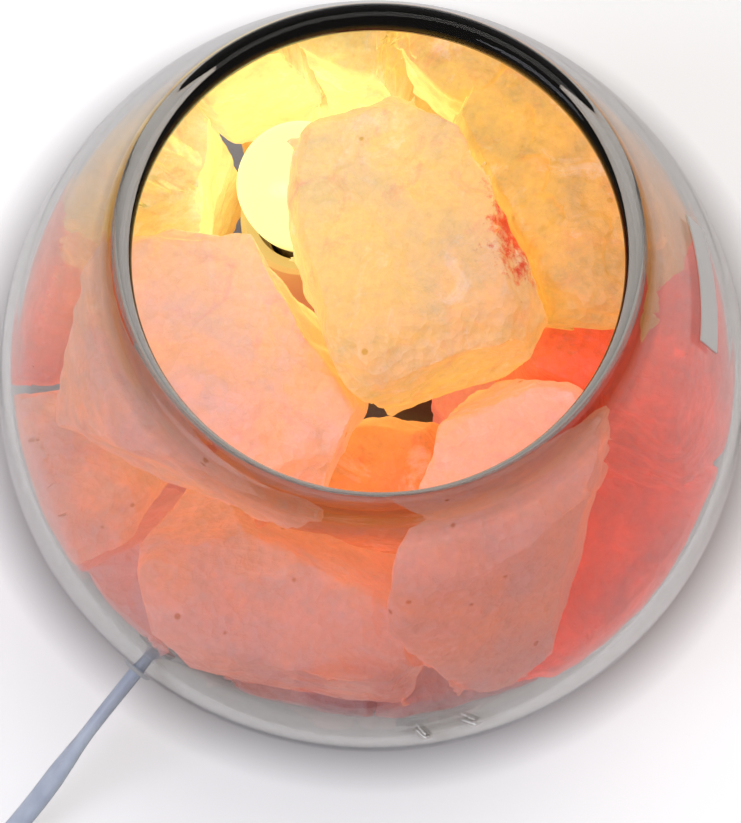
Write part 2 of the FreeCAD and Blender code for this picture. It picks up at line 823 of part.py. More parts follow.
# The rocker is drawn pressed at its far end, which is how it rests when the lamp is on.
rocker_outline = [
    (-rocker_length / 2, pivot_level - 0.6),
    (-rocker_length / 2, pivot_level + rocker_edge),
    (0, rocker_top - 1.0),
    (rocker_length / 2, pivot_level + rocker_edge),
    (rocker_length / 2, pivot_level - 0.6),
    (1.6, pivot_level - 2.6),
    (-1.6, pivot_level - 2.6),
]
rocker_corners = [in_switch(x, -rocker_width / 2, z) for x, z in rocker_outline]
rocker = Part.Face(Part.makePolygon(rocker_corners + [rocker_corners[0]])).extrude(
    switch_side * rocker_width
)
rocker = rocker.fuse(
    cylinder(
        rocker_pivot_radius, window_wide + 2 * ear - 0.4, pivot_start + switch_side * 0.2, switch_side
    )
)
rocker.rotate(in_switch(0, 0, pivot_level), switch_side, rocker_tilt)

post_radius = 2.4
post_hole = 1.1
screw_spots = [(-switch_length / 2 + 10.5, 0.31 * switch_width), (switch_length / 2 - 10.5, -0.31 * switch_width)]
switch_screws = []
for along, across in screw_spots:
    foot = in_switch(along, across, 0)
    base = base.fuse(cylinder(post_radius, switch_split, foot))
    head_room = cylinder(2.0, 1.4, foot)
    base = base.cut(cylinder(post_hole, switch_split, foot)).cut(head_room)
    post_top = cylinder(post_radius, switch_height - switch_split - switch_wall, in_switch(along, across, switch_split))
    cover = cover.fuse(post_top).cut(cylinder(post_hole, 3.5, in_switch(along, across, switch_split)))
    shank = cylinder(post_hole, switch_split + 3.0 - 0.2, foot + up * 0.2)
    head = cylinder(1.9, 1.1, foot + up * 0.2)
    switch_screws.append(shank.fuse(head).removeSplitter().Solids[0])
base = base.cut(cord_way)
save("switch_base", one_solid(base))
save("switch_cover", one_solid(cover))
save("switch_rocker", one_solid(rocker))
save("switch_screws", Part.makeCompound(switch_screws))

contacts = []
for side in (-1, 1):
    plate = across_box(7.0, 3.4, switch_wall, switch_wall + 0.6).translated(switch_axis * (side * 10.0))
    blade = across_box(0.6, 3.4, switch_wall, 5.6).translated(switch_axis * (side * 6.8))
    contacts.append(plate.fuse(blade).removeSplitter().Solids[0])
save("switch_contacts", Part.makeCompound(contacts))

# ---- the bulb

bulb_bottom = contact_level
tip_height = 1.2
save(
    "bulb_contact",
    revolved([(0, 0), (2.0, 0), (2.4, 0.4), (2.4, tip_height), (0, tip_height)], lamp_at(bulb_bottom)),
)
glass_seat = 3.2
save(
    "bulb_insulator",
    revolved(
        [(0, tip_height), (2.6, tip_height), (bulb_thread_radius - 1.2, glass_seat), (0, glass_seat)],
        lamp_at(bulb_bottom),
    ),
)
cap_wall = 0.4
save(
    "bulb_cap",
    revolved(
        [
            (0, glass_seat),
            (bulb_thread_radius - 1.2, glass_seat),
            (bulb_thread_radius, glass_seat + 1),
            (bulb_thread_radius, bulb_cap_length),
            (bulb_thread_radius + 0.5, bulb_cap_length + 0.5),
            (bulb_thread_radius + 0.5, bulb_cap_length + 1.5),
            (bulb_thread_radius - cap_wall, bulb_cap_length + 1.5),
            (bulb_thread_radius - cap_wall, glass_seat + 1.4),
            (0, glass_seat + 1.4),
        ],
        lamp_at(bulb_bottom),
    ),
)

bulb_neck_radius = bulb_thread_radius - cap_wall - 0.1
neck_level = bulb_bottom + bulb_cap_length - 6
bulb_top = neck_level + 6 + bulb_glass_length
globe_level = bulb_top - bulb_radius


def bulb_outline(inset):
    # Neck, flare and round top of the glass, as edges from the bottom up.
    neck = bulb_neck_radius - inset
    round_radius = bulb_radius - inset
    flare_start = Vector(lamp_x + neck, lamp_y, neck_level + 8)
    flare_end = Vector(lamp_x + round_radius, lamp_y, globe_level)
    middle = (flare_start + flare_end) * 0.5 + Vector(0.9, 0, -1.2)
    share = math.sqrt(0.5)
    return [
        line(Vector(lamp_x + neck, lamp_y, neck_level + inset), flare_start),
        arc(flare_start, middle, flare_end),
        arc(
            flare_end,
            Vector(lamp_x + round_radius * share, lamp_y, globe_level + round_radius * share),
            Vector(lamp_x, lamp_y, globe_level + round_radius),
        ),
    ]


def bulb_body(inset):
    edges = bulb_outline(inset)
    foot = Vector(lamp_x + bulb_neck_radius - inset, lamp_y, neck_level + inset)
    edges.append(line(lamp_at(globe_level + bulb_radius - inset), lamp_at(neck_level + inset)))
    edges.append(line(lamp_at(neck_level + inset), foot))
    return Part.Face(Part.Wire(Part.__sortEdges__(edges))).revolve(lamp_at(0), up, 360)


envelope = bulb_body(0).cut(bulb_body(bulb_glass_wall))
save("bulb_envelope", envelope)

stem_foot = neck_level + bulb_glass_wall
stem_top = globe_level - 6
save(
    "bulb_stem",
    revolved(
        [
            (0, 0),
            (bulb_neck_radius - bulb_glass_wall - 0.6, 0),
            (2.4, 5),
            (1.5, stem_top - stem_foot - 2),
            (2.0, stem_top - stem_foot),
            (0, stem_top - stem_foot),
        ],
        lamp_at(stem_foot),
    ),
)
wire_radius = 0.25
filament_level = globe_level + 2
wire_spread = 6.5
wires = []
for side in (-1, 1):
    wire_points = [
        lamp_at(stem_top) + Vector(side * 1.2, 0, 0),
        lamp_at(stem_top + 3) + Vector(side * 2.6, 0, 0),
        lamp_at(filament_level) + Vector(side * wire_spread, 0, 0),
    ]
    wires.append(tube("support_wires", wire_points, wire_radius))

coils = 7
filament_radius = 0.22
helix_radius = 0.7
filament_pitch = 2 * (wire_spread - wire_radius) / coils
helix = Part.makeHelix(filament_pitch, 2 * (wire_spread - wire_radius), helix_radius)
helix_section = Part.Wire(
    Part.makeCircle(filament_radius, Vector(helix_radius, 0, 0), Vector(0, 1, 0))
)
filament = helix.makePipeShell([helix_section], True, True)
filament.rotate(origin, Vector(0, 1, 0), 90)
filament.translate(lamp_at(filament_level + helix_radius + wire_radius) - Vector(wire_spread - wire_radius, 0, 0))
save("filament", Part.makeCompound([one_solid(filament)] + wires))

# ---- the salt chunks

pile_radius = bowl_radius - wall
space_above = bowl_height - belly_height
space_below = belly_height - floor_thickness
well_radius = bulb_radius + well_clearance
travel = thread_pitch * thread_turns
well_top = bulb_top + travel + 1.5


def wobble(chunk, k):
    # A fixed uneven number from 0 to 1 for each chunk and facet.
    value = math.sin(12.9898 * chunk + 78.233 * k + 1.3) * 437.585
    return value - math.floor(value)


def chunk_middle(place):
    x, y, level = place
    space = space_above if level > 0 else space_below
    return Vector(x, y, 0) * (pile_radius / 100) + up * (belly_height + level * space / 100)


def reach_towards(sizes, bearing, direction):
    # How far an egg of those half sizes reaches in a direction.
    along = on_bearing(bearing, 1)
    across = on_bearing(bearing + 90, 1)
    long, wide, deep = (size * pile_radius / 100 for size in sizes)
    return math.sqrt(
        (long * direction.dot(along)) ** 2
        + (wide * direction.dot(across)) ** 2
        + (deep * direction.z) ** 2
    )


def bowl_reach(tilt):
    # How far the inner wall reaches from the belly's middle in a direction tilted from level.
    best = 0
    for k in range(101):
        level = floor_thickness + (bowl_height - floor_thickness) * k / 100
        spot = wall_radius(level, wall) * math.cos(tilt) + (level - belly_height) * math.sin(tilt)
        best = max(best, spot)
    return best


def bowl_facets():
    # Flat facets all round, just inside the inner wall, as (normal, distance) pairs.
    facets = [(up * -1, -floor_thickness)]
    rows = ((-58, 9), (-32, 14), (-8, 16), (16, 15), (38, 13), (60, 9))
    for row, (tilt, count) in enumerate(rows):
        slant = math.radians(tilt)
        for k in range(count):
            bearing = 360 * (k + 0.5 * (row % 2)) / count
            normal = on_bearing(bearing, math.cos(slant), math.sin(slant))
            distance = bowl_reach(slant) * facet_share - bowl_clearance
            facets.append((normal, distance + normal.z * belly_height))
    return facets


def cleavage(number, place, sizes, bearing):
    # The chunk's own faces, split edges and split corners, each a little off square.
    middle = chunk_middle(place)
    along = on_bearing(bearing, 1)
    across = on_bearing(bearing + 90, 1)
    facets = []
    k = 0
    for a in (-1, 0, 1):
        for b in (-1, 0, 1):
            for c in (-1, 0, 1):
                kind = abs(a) + abs(b) + abs(c)
                if kind == 0:
                    continue
                k += 1
                stray = 0.35 if kind == 1 else 0.5
                off = [stray * (wobble(number, 3 * k + n) - 0.5) for n in range(3)]
                ways = [v / math.sqrt(kind) + w for v, w in zip((a, b, c), off)]
                normal = (along * ways[0] + across * ways[1] + up * ways[2]).normalize()
                if place[2] < floor_layer and normal.z < -0.5:
                    continue
                if kind == 1:
                    reach = reach_towards(sizes, bearing, normal)
                else:
                    parts = (abs(normal.dot(along)), abs(normal.dot(across)), abs(normal.z))
                    reach = sum(p * s * pile_radius / 100 for p, s in zip(parts, sizes))
                share = {1: 1.0, 2: chip_edge, 3: chip_corner}[kind]
                share *= 0.97 + 0.12 * (wobble(number, k + 50) - 0.5)
                facets.append((normal, reach * share + normal.dot(middle)))
    return facets


def between(one, other):
    # The plane that two neighbours share, placed by how big each is that way.
    middle = chunk_middle(one[1])
    way = chunk_middle(other[1]) - middle
    distance = way.Length
    way = way.normalize()
    mine = reach_towards(one[2], one[3], way)
    theirs = reach_towards(other[2], other[3], way)
    gap = lift_gap if chunks[0][0] in (one[0], other[0]) else 0
    return way, way.dot(middle) + distance * mine / (mine + theirs) - gap / 2


def past_run(middle, start, end, clearance):
    # The plane that keeps a chunk clear of a straight run of the lead.
    run = end - start
    share = min(1.0, max(0.0, (middle - start).dot(run) / run.dot(run)))
    nearest = start + run * share
    way = (nearest - middle).normalize()
    return way, way.dot(nearest) - clearance


def past_well(middle):
    # The plane that keeps a chunk clear of the bulb, beside it or leaning over it.
    axis = lamp_at(0)
    away = Vector(middle.x - axis.x, middle.y - axis.y, 0).normalize()
    if middle.z < well_top - bulb_radius:
        way = away * -1
        return way, way.dot(axis) - well_radius
    way = (away * -1 - up).normalize()
    corner = lamp_at(well_top - 8) + away * well_radius
    return way, way.dot(corner)


def clipped(polygon, facet):
    # The part of a flat polygon on the inner side of a plane, and its corners on that plane.
    way, distance = facet
    kept = []
    cuts = []
    for one, two in zip(polygon, polygon[1:] + polygon[:1]):
        here = way.dot(one) - distance
        there = way.dot(two) - distance
        if here <= 0:
            kept.append(one)
        if (here < 0 < there) or (there < 0 < here):
            spot = one + (two - one) * (here / (here - there))
            kept.append(spot)
            cuts.append(spot)
    return kept, cuts


def trimmed(polygons, facet):
    # A convex block, as its flat faces, with what lies beyond a plane taken off.
    way, distance = facet
    reach = max(way.dot(spot) for polygon in polygons for spot in polygon)
    if reach <= distance + chip_least:
        return polygons
    left = []
    rim = []
    for polygon in polygons:
        kept, cuts = clipped(polygon, facet)
        rim += cuts
        if len(kept) > 2:
            left.append(kept)
    middle = origin
    for spot in rim:
        middle = middle + spot * (1 / len(rim))
    side = (rim[0] - middle).normalize()
    other = way.cross(side)
    rim.sort(key=lambda spot: math.atan2((spot - middle).dot(other), (spot - middle).dot(side)))
    left.append(rim)
    return left


def block(middle, half):
    # The six faces of a cube that every chunk is cut from.
    faces = []
    for axis in range(3):
        for side in (-1, 1):
            corners = []
            for a, b in ((-1, -1), (1, -1), (1, 1), (-1, 1)):
                offset = [0, 0, 0]
                offset[axis] = side
                offset[(axis + 1) % 3] = a
                offset[(axis + 2) % 3] = b
                corners.append(middle + Vector(*offset) * half)
            faces.append(corners)
    return faces


def solid_of(polygons):
    faces = []
    for polygon in polygons:
        corners = [
            spot for k, spot in enumerate(polygon) if spot.distanceToPoint(polygon[k - 1]) > 1e-5
        ]
        if len(corners) > 2:
            faces.append(Part.Face(Part.makePolygon(corners + [corners[0]])))
    shell = Part.makeShell(faces)
    shell.sewShape()
    return Part.makeSolid(shell)


def overhang(point):
    # How far a corner reaches past the room that the bowl leaves.
    level = max(floor_thickness, min(point.z, bowl_height - 3 * lip_height))
    return math.hypot(point.x, point.y) - wall_radius(level, wall + bowl_clearance)


def dressing(point):
    out, rise = wall_normal(point.z, wall + bowl_clearance)
    bearing = math.degrees(math.atan2(point.y, point.x))
    normal = on_bearing(bearing, out, rise)
    return normal, normal.dot(point) - overhang(point) * out - 1.2


def chunk_solid(number):
    name, place, sizes, bearing = chunks[number]
    middle = chunk_middle(place)
    polygons = block(middle, 1.2 * pile_radius)
    facets = cleavage(number, place, sizes, bearing)
    facets.append(past_well(middle))
    for start, end in zip(lead_points, lead_points[1:]):
        facets.append(past_run(middle, start, end, cord_radius + lead_clearance))
    facets.append(past_run(middle, inner_face, hole_mouth, grommet_flange_radius + lead_clearance))
    for other in chunks:
        if other[0] != name:
            facets.append(between(chunks[number], other))
    for facet in facets + bowl_facets():
        polygons = trimmed(polygons, facet)
    for _ in range(60):
        # Corners that would still touch the glass are dressed back.
        worst = max((spot for polygon in polygons for spot in polygon), key=overhang)
        if overhang(worst) <= 0:
            break
        polygons = trimmed(polygons, dressing(worst))
    return solid_of(polygons)


for number, (name, *_) in enumerate(chunks):
    save(name, chunk_solid(number))
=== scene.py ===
import math

import bpy
from mathutils import Matrix, Vector


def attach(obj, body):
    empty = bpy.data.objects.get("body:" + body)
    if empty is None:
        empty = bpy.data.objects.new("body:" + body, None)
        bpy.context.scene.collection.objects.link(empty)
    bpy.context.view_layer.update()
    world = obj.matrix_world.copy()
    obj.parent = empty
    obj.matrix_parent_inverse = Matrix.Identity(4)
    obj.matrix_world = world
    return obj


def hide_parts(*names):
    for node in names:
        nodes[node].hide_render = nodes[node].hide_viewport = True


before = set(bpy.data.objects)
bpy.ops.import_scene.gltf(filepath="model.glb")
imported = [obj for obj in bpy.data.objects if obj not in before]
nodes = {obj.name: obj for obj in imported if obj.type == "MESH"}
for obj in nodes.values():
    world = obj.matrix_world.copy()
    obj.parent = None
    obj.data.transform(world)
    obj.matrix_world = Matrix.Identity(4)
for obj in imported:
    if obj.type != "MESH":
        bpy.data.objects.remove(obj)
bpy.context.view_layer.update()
mm = 0.001
up = Vector((0, 0, 1))
print("frame loaded")


# small helpers, all lengths in metres unless a name says mm

def onBearing(degrees, reach, height=0.0):
    angle = math.radians(degrees)
    return Vector((reach * math.cos(angle), reach * math.sin(angle), height))


def linear(hexColour, alpha=1.0):
    # an sRGB hex value as the linear colour that the shaders take
    parts = [int(hexColour[i : i + 2], 16) / 255 for i in (1, 3, 5)]
    return [p / 12.92 if p <= 0.04045 else ((p + 0.055) / 1.055) ** 2.4 for p in parts] + [alpha]


def put(tree, kind, inputs=None, **settings):
    # one node with its settings; an input is a value or another node's output
    node = tree.nodes.new(kind)
    for name, value in settings.items():
        setattr(node, name, value)
    for name, value in (inputs or {}).items():
        if isinstance(value, bpy.types.NodeSocket):
            tree.links.new(value, node.inputs[name])
        else:
            node.inputs[name].default_value = value
    return node


def setStops(node, stops):
    # a colour ramp's stops as (place, hex)
    elements = node.color_ramp.elements
    while len(elements) > 1:
        elements.remove(elements[-1])
    elements[0].position, elements[0].color = stops[0][0], linear(stops[0][1])
    for place, hexColour in stops[1:]:
        elements.new(place).color = linear(hexColour)
    return node.outputs["Color"]


def newMaterial(name):
    material = bpy.data.materials.new(name)
    material.use_nodes = True
    tree = material.node_tree
    shader = tree.nodes["Principled BSDF"]
    return material, tree, shader


def objectPlace(tree, size=None, turn=(0, 0, 0)):
    # Object coordinates, so that one pattern unit is size millimetres
    place = put(tree, "ShaderNodeTexCoord").outputs["Object"]
    if size is None:
        return place
    inputs = {"Vector": place, "Scale": (1000 / size,) * 3, "Rotation": turn}
    return put(tree, "ShaderNodeMapping", inputs).outputs["Vector"]


def spread(tree, value, low, high, toLow=0.0, toHigh=1.0):
    # low to high becomes toLow to toHigh, and stays there beyond them
    inputs = {"Value": value, "From Min": low, "From Max": high, "To Min": toLow, "To Max": toHigh}
    return put(tree, "ShaderNodeMapRange", inputs).outputs["Result"]


def noise(tree, size, turn=(0, 0, 0), detail=4.0, roughness=0.5, distortion=0.0):
    # a cloudy pattern whose largest forms are size millimetres
    inputs = {
        "Vector": objectPlace(tree, size, turn),
        "Scale": 1.0,
        "Detail": detail,
        "Roughness": roughness,
        "Distortion": distortion,
    }
    return put(tree, "ShaderNodeTexNoise", inputs).outputs["Fac"]


def sums(tree, operation, first, second):
    # one step of arithmetic
    return put(tree, "ShaderNodeMath", {0: first, 1: second}, operation=operation).outputs["Value"]


def blended(tree, share, first, second):
    # a colour that goes from the first to the second
    return put(tree, "ShaderNodeMix", {"Factor": share, 6: first, 7: second}, data_type="RGBA").outputs[2]


def clearSelection():
    if bpy.context.object and bpy.context.object.mode != "OBJECT":
        bpy.ops.object.mode_set(mode="OBJECT")
    bpy.ops.object.select_all(action="DESELECT")


def pick(piece):
    clearSelection()
    piece.select_set(True)
    bpy.context.view_layer.objects.active = piece
    return piece


def applyAll(piece):
    pick(piece)
    for modifier in list(piece.modifiers):
        bpy.ops.object.modifier_apply(modifier=modifier.name)
    return piece


def settle(piece):
    # the piece's place goes into its mesh
    pick(piece)
    bpy.ops.object.transform_apply(location=True, rotation=True, scale=True)
    return piece


def dress(piece, material):
    piece.data.materials.clear()
    piece.data.materials.append(material)
    return piece


def smooth(piece, degrees=40):
    pick(piece)
    bpy.ops.object.shade_smooth_by_angle(angle=math.radians(degrees))
    return piece


def copyOf(nodeName, name):
    # a CAD node's shape as a piece of its own, its loose triangles merged
    source = nodes[nodeName]
    piece = bpy.data.objects.new(name, source.data.copy())
    bpy.context.scene.collection.objects.link(piece)
    pick(piece)
    bpy.ops.object.mode_set(mode="EDIT")
    bpy.ops.mesh.select_all(action="SELECT")
    bpy.ops.mesh.remove_doubles(threshold=0.002 * mm)
    bpy.ops.object.mode_set(mode="OBJECT")
    return piece


def lathe(name, outline, steps):
    # an outline of (radius, height) in mm, drawn point by point and spun round the middle
    clearSelection()
    bpy.ops.mesh.primitive_plane_add(size=0.01, location=(0, 0, 0))
    piece = bpy.context.object
    piece.name = name
    settle(piece)
    bpy.ops.object.mode_set(mode="EDIT")
    bpy.ops.mesh.select_mode(type="VERT")
    bpy.ops.mesh.select_all(action="SELECT")
    bpy.ops.mesh.merge(type="CENTER")
    here = Vector((outline[0][0], 0, outline[0][1])) * mm
    bpy.ops.transform.translate(value=here)
    for radius, height in outline[1:]:
        there = Vector((radius, 0, height)) * mm
        bpy.ops.mesh.extrude_region_move(TRANSFORM_OT_translate={"value": there - here})
        here = there
    bpy.ops.mesh.select_all(action="SELECT")
    bpy.ops.mesh.spin(steps=steps, angle=2 * math.pi, center=(0, 0, 0), axis=(0, 0, 1))
    bpy.ops.mesh.select_all(action="SELECT")
    bpy.ops.mesh.remove_doubles(threshold=0.0004 * mm * 1)
    bpy.ops.mesh.remove_doubles(threshold=0.002 * mm)
    bpy.ops.mesh.normals_make_consistent(inside=False)
    bpy.ops.object.mode_set(mode="OBJECT")
    return piece


def smoothThrough(points, steps=8):
    # more points on a smooth line through the given ones
    spots = [Vector(p) for p in points]
    ends = [spots[0] * 2 - spots[1]] + spots + [spots[-1] * 2 - spots[-2]]
    line = []
    for a, b, c, d in zip(ends, ends[1:], ends[2:], ends[3:]):
        for k in range(steps):
            t = k / steps
            square, cube = 2 * a - 5 * b + 4 * c - d, 3 * b - 3 * c + d - a
            line.append(0.5 * ((2 * b) + (c - a) * t + square * t**2 + cube * t**3))
    return [tuple(p) for p in line] + [tuple(spots[-1])]


# the camera: high in front, a little rolled, as the photograph was taken

cameraLook = {
    "distance": 595 * mm,  # from the bowl's middle
    "target": Vector((0, 0, 72 * mm)),
    "elevation": 72.4,
    "roll": 3.0,
    "lens": 113.8,
    "aimDrop": 0.77,  # degrees that it points below the target
}


def makeCamera(look):
    lens = bpy.data.cameras.new("photoLens")
    lens.lens = look["lens"]
    lens.sensor_width = 36
    lens.clip_start = 0.02
    camera = bpy.data.objects.new("photoCamera", lens)
    bpy.context.scene.collection.objects.link(camera)
    high = math.radians(look["elevation"])
    back = Vector((0, -math.cos(high), math.sin(high)))
    camera.location = look["target"] + back * look["distance"]
    right = Vector((1, 0, 0))
    top = back.cross(right)
    drop = math.radians(look["aimDrop"])
    back, top = back * math.cos(drop) + top * math.sin(drop), top * math.cos(drop) - back * math.sin(drop)
    turn = math.radians(look["roll"])
    right, top = right * math.cos(turn) + top * math.sin(turn), top * math.cos(turn) - right * math.sin(turn)
    camera.rotation_euler = Matrix((right, top, back)).transposed().to_euler()
    bpy.context.scene.camera = camera


makeCamera(cameraLook)
print("camera set")


# the flex: a flat twin cord, off the grommet, through the switch, coiled up and into the plug

flex = {
    "width": 5.2,  # mm, of the flat twin section
    "thick": 3.2,
    "inside": (-46.9, -60.46, 46.36),  # where it meets the lead inside the bowl
    "lead": [
        (-50.88, -65.59, 44.35),
        (-60.5, -78.0, 39.5),
        (-68.5, -87.0, 28.0),
        (-75.5, -93.5, 14.0),
        (-85.0, -104.0, 6.0),
        (-89.5, -119.5, 3.4),
        (-87.5, -134.5, 3.6),
        (-81.0, -145.8, 5.0),
    ],
    "switchBearing": -60.0,
    "switchLength": 52.0,
    "linkRun": 31.5,
    "table": 1.8,  # the middle of the flex where it lies flat
    "coilRadius": 38.0,
    "coilPitch": 5.8,
    "coilLayer": 3.5,
    "coilTurns": 6.4167,
    "coilStart": 210.0,
    "perTurn": 18,
    "plugLevel": 6.85,
}


def splinePoints(points, resolution=6):
    # the middle line of a smooth spline whose control points are given in mm
    curve = bpy.data.curves.new("routeLine", "CURVE")
    curve.dimensions = "3D"
    spline = curve.splines.new("NURBS")
    spline.points.add(len(points) - 1)
    for point, spot in zip(spline.points, points):
        point.co = (*(Vector(spot) * mm), 1)
    spline.order_u = 3
    spline.use_endpoint_u = True
    curve.resolution_u = resolution
    holder = bpy.data.objects.new("routeLine", curve)
    bpy.context.scene.collection.objects.link(holder)
    bpy.context.view_layer.update()
    mesh = bpy.data.meshes.new_from_object(holder)
    spots = [v.co.copy() for v in mesh.vertices]
    bpy.data.objects.remove(holder)
    bpy.data.meshes.remove(mesh)
    bpy.data.curves.remove(curve)
    return spots


def evenly(spots, step):
    # the same line with its points a steady step apart
    line = [spots[0].copy()]
    carry = 0.0
    for a, b in zip(spots, spots[1:]):
        run = (b - a).length
        while carry + run >= step:
            a = a + (b - a).normalized() * (step - carry)
            line.append(a.copy())
            run = (b - a).length
            carry = 0.0
        carry += run
    if (line[-1] - spots[-1]).length > 0.3 * step:
        line.append(spots[-1].copy())
    else:
        line[-1] = spots[-1].copy()
    return line


def flexSection(sides=10):
    # the twin section: two round lobes with a shallow groove between, as (across, up) in metres
    lobe = flex["thick"] / 2 * mm
    out = (flex["width"] - flex["thick"]) / 2 * mm
    ring = []
    for side in (1, -1):
        for k in range(sides):
            angle = math.radians(-118 + 236 * k / (sides - 1))
            ring.append((side * (out + lobe * math.cos(angle)), side * lobe * math.sin(angle)))
    return ring


def flexPiece(name, line, twist, material):
    # twist is a list of (mm along, degrees that the flat side is turned up from lying flat)
    ring = flexSection()
    vertices = []
    along = 0.0
    for k, spot in enumerate(line):
        ahead = line[min(k + 1, len(line) - 1)]
        behind = line[max(k - 1, 0)]
        heading = (ahead - behind).normalized()
        if k:
            along += (spot - line[k - 1]).length / mm
        flat = up.cross(heading).normalized()
        rise = heading.cross(flat)
        turn = twist[-1][1]
        for (a, angleA), (b, angleB) in zip(twist, twist[1:]):
            if a <= along < b:
                share = (along - a) / (b - a)
                turn = angleA + (angleB - angleA) * share * share * (3 - 2 * share)
                break
        turn = math.radians(turn)
        acrossWay = flat * math.cos(turn) + rise * math.sin(turn)
        upWay = rise * math.cos(turn) - flat * math.sin(turn)
        vertices += [spot + acrossWay * x + upWay * y for x, y in ring]
    count = len(ring)
    faces = [tuple(reversed(range(count)))]
    for k in range(len(line) - 1):
        base = k * count
        for n in range(count):
            m = (n + 1) % count
            faces.append((base + n, base + m, base + count + m, base + count + n))
    faces.append(tuple(range((len(line) - 1) * count, len(line) * count)))
    mesh = bpy.data.meshes.new(name)
    mesh.from_pydata(vertices, [], faces)
    piece = bpy.data.objects.new(name, mesh)
    bpy.context.scene.collection.objects.link(piece)
    pick(piece)
    bpy.ops.object.mode_set(mode="EDIT")
    bpy.ops.mesh.select_all(action="SELECT")
    bpy.ops.mesh.normals_make_consistent(inside=False)
    bpy.ops.object.mode_set(mode="OBJECT")
    smooth(piece, 50)
    return dress(piece, material)


def makeFlexVinyl():
    # plasticised PVC, extruded: soft satin skin, a little light goes in, a faint fine grain
    material, tree, shader = newMaterial("flexVinyl")
    ramp = put(tree, "ShaderNodeValToRGB", {"Fac": noise(tree, 9, detail=3.0)})
    colour = setStops(ramp, [(0.3, "#aab1c2"), (0.7, "#c3cad6")])
    tree.links.new(colour, shader.inputs["Base Color"])
    grain = noise(tree, 0.6, detail=2.0)
    tree.links.new(spread(tree, grain, 0, 1, 0.32, 0.46), shader.inputs["Roughness"])
    bump = put(tree, "ShaderNodeBump", {"Height": grain, "Strength": 0.15, "Distance": 0.05 * mm})
    tree.links.new(bump.outputs["Normal"], shader.inputs["Normal"])
    shader.inputs["Subsurface Weight"].default_value = 0.25
    shader.inputs["Subsurface Radius"].default_value = (1.0, 1.0, 1.1)
    shader.inputs["Subsurface Scale"].default_value = 1.2 * mm
    shader.inputs["IOR"].default_value = 1.53
    return material


flexVinyl = makeFlexVinyl()


def coilRoute():
    # in on the lower layer and out again on the upper one, climbing where it reverses
    heading = onBearing(flex["switchBearing"], 1)
    beside = onBearing(flex["switchBearing"] + 90, 1)
    start = Vector(flex["lead"][-1]) + heading * flex["switchLength"]
    entry = Vector((*(start + heading * flex["linkRun"]).to_2d(), flex["table"]))
    straight = flex["width"]
    middle = entry + heading * straight + beside * flex["coilRadius"]
    route = [start, start + heading * 10]
    route.append(Vector((*(start + heading * 21).to_2d(), flex["table"] + 0.6)))
    route.append(entry - heading * 2)
    half = flex["coilTurns"] / 2
    count = round(flex["coilTurns"] * flex["perTurn"])
    for k in range(count + 1):
        turn = flex["coilTurns"] * k / count
        radius = flex["coilRadius"] - flex["coilPitch"] * (half - abs(turn - half))
        radius /= math.cos(math.pi / flex["perTurn"]) ** 2 * 0.5 + 0.5  # the spline cuts inside
        climb = min(1.0, max(0.0, (turn - half + 0.25) / 0.5))
        rise = flex["coilLayer"] * (1 - math.cos(math.pi * climb)) / 2
        route.append(middle + onBearing(flex["coilStart"] + 360 * turn, radius, rise))
    last = route[-1]
    for run, level in ((8, 4.9), (15, 6.0), (24, 6.7), (31, 6.85)):
        route.append(Vector((middle.x + flex["coilRadius"], last.y + run * 0.98, level)))
    return start, route


leadLine = evenly(splinePoints([flex["inside"]] + flex["lead"], 16), 1.2 * mm)
leadTwist = [(0, 84), (22, 80), (50, 8), (64, 12), (86, 78), (110, 0)]
flexLead = flexPiece("flexLead", leadLine, leadTwist, flexVinyl)
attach(flexLead, "lamp")
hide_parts("cord_lead")
coilStart, coilPoints = coilRoute()
coilLine = evenly(splinePoints(coilPoints, 6), 1.8 * mm)
flexCoil = flexPiece("flexCoil", coilLine, [(0, 0), (3000, 0)], flexVinyl)
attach(flexCoil, "lamp")
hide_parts("cord_link", "cord_coil", "cord_tail")


def lineLength(line):
    return sum((b - a).length for a, b in zip(line, line[1:]))


print("flex lengths", round(lineLength(leadLine), 4), round(lineLength(coilLine), 4))
print("flex made")


# the glass bowl

bowl = {
    "radius": 85.0,
    "height": 155.0,
    "belly": 72.0,
    "foot": 49.0,
    "mouth": 49.1,
    "lipWidth": 4.6,
    "lipHeight": 2.6,
    "wall": 3.6,
    "floor": 7.0,
    "bend": 34.6,  # how soon the wall turns in above the belly
    "footRound": 1.2,
    "floorRound": 0.8,
    "footRing": 40.0,  # the flat ring that it stands on starts here
    "footHollow": 0.8,
    "holeLevel": 45.0,
    "holeBearing": -127.8,
    "holeRadius": 3.8,
    "holeWay": (-0.585, -0.755, -0.297),
    "steps": 240,
}


def wallRadius(height, inset):
    neck = bowl["mouth"] + bowl["lipWidth"]
    full = math.hypot(1, (bowl["height"] - bowl["belly"]) / bowl["bend"]) - 1
    sweep = (bowl["radius"] - neck) / full
    below = bowl["belly"] / math.sqrt(1 - (bowl["foot"] / bowl["radius"]) ** 2)
    if height >= bowl["belly"]:
        rise = (height - bowl["belly"]) / bowl["bend"]
        slope = sweep * rise / (bowl["bend"] * math.hypot(1, rise))
        return bowl["radius"] - sweep * (math.hypot(1, rise) - 1) - inset * math.hypot(1, slope)
    return (bowl["radius"] - inset) * math.sqrt(1 - ((bowl["belly"] - height) / (below - inset)) ** 2)


def wallLine(low, high, inset):
    levels = [low + (bowl["belly"] - low) * k / 5 for k in range(5)]
    levels += [bowl["belly"] + (high - bowl["belly"]) * k / 5 for k in range(6)]
    return smoothThrough([(wallRadius(level, inset), level) for level in levels], 9)


